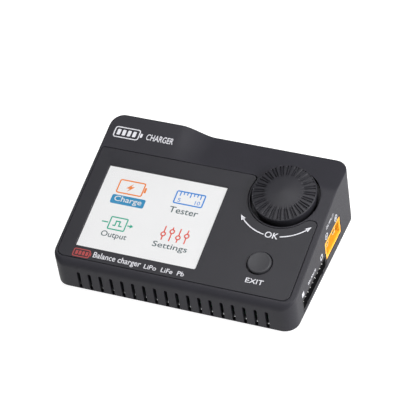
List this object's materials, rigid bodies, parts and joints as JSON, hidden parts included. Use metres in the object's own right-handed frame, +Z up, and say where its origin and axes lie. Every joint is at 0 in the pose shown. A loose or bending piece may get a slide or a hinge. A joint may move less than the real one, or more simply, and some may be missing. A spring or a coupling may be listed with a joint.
{
  "type": "balance battery charger",
  "caption": "Desktop DC balance charger for model batteries, with a tilted colour display, turn-and-press knob, exit button, power sockets, balance header and fan.",
  "frame": {"origin": "centre of the footprint on the plane the feet stand on", "axes": "+X to the right along the case's width, +Y to the rear, +Z up"},
  "size_m": [0.098, 0.067, 0.0314],
  "materials": {
    "case_plastic": "fine spark-eroded texture",
    "panel_plastic": "fine satin texture",
    "knob_plastic": "soft matte",
    "button_plastic": "satin",
    "clear_window": "clear, polished",
    "screen": "backlit white",
    "sheet_steel": "plated",
    "aluminium": "brushed, anodised",
    "contact_metal": "gold flashed",
    "tinned_pin": "tinned",
    "connector_yellow": "moulded nylon",
    "black_plastic": "moulded nylon",
    "circuit_board": "solder mask",
    "copper_winding": "enamelled copper",
    "capacitor_sleeve": "shrunk sleeve",
    "rubber": "matte rubber"
  },
  "bodies": {
    "case": {"case_shell": "case_plastic", "bottom_plate": "aluminium", "front_panel": "panel_plastic", "display_window": "clear_window", "display_glass": "screen", "display_module": "sheet_steel", "encoder_body": "sheet_steel", "exit_switch": "sheet_steel", "control_board": "circuit_board", "output_socket": "connector_yellow", "output_pin_front": "contact_metal", "output_pin_rear": "contact_metal", "input_socket": "connector_yellow", "input_pin_front": "contact_metal", "input_pin_rear": "contact_metal", "balance_header": "black_plastic", "usb_shell": "sheet_steel", "usb_tongue": "black_plastic", "fan_frame": "black_plastic", "fan_screw_1": "sheet_steel", "fan_screw_2": "sheet_steel", "main_board": "circuit_board", "heat_sink": "aluminium", "inductor_left": "copper_winding", "inductor_right": "copper_winding", "capacitor_1": "capacitor_sleeve", "capacitor_2": "capacitor_sleeve", "capacitor_3": "capacitor_sleeve", "capacitor_4": "capacitor_sleeve", "buzzer": "black_plastic", "foot_front_left": "rubber", "foot_front_right": "rubber", "foot_rear_left": "rubber", "foot_rear_right": "rubber", "case_screw_1": "sheet_steel", "case_screw_2": "sheet_steel", "case_screw_3": "sheet_steel", "case_screw_4": "sheet_steel", "balance_pin_1": "tinned_pin", "balance_pin_2": "tinned_pin", "balance_pin_3": "tinned_pin", "balance_pin_4": "tinned_pin", "balance_pin_5": "tinned_pin", "balance_pin_6": "tinned_pin", "balance_pin_7": "tinned_pin", "balance_pin_8": "tinned_pin", "balance_pin_9": "tinned_pin"},
    "fan_impeller": {"fan_rotor": "black_plastic"},
    "encoder_wheel": {"encoder_rotor": "black_plastic"},
    "knob": {"knob": "knob_plastic", "encoder_shaft": "sheet_steel"},
    "exit_button": {"exit_button": "button_plastic", "exit_switch_plunger": "black_plastic"}
  },
  "joints": [
    {"name": "fan_spin", "type": "hinge", "parent": "case", "child": "fan_impeller", "pos_m": [-0.033, 0.0277, 0.0149], "axis": [0, 1, 0], "continuous": true},
    {"name": "knob_turn", "type": "hinge", "parent": "case", "child": "encoder_wheel", "pos_m": [0.0306, 0.01146, 0.02584], "axis": [0, -0.2385, 0.9711], "continuous": true},
    {"name": "knob_press", "type": "slide", "parent": "encoder_wheel", "child": "knob", "axis": [0, 0.2385, -0.9711], "range_m": [0, 0.0005], "stiffness_N_per_m": 3000, "springref_m": -0.0004},
    {"name": "exit_press", "type": "slide", "parent": "case", "child": "exit_button", "axis": [0, 0.2385, -0.9711], "range_m": [0, 0.0004], "stiffness_N_per_m": 2500, "springref_m": -0.0004}
  ]
}
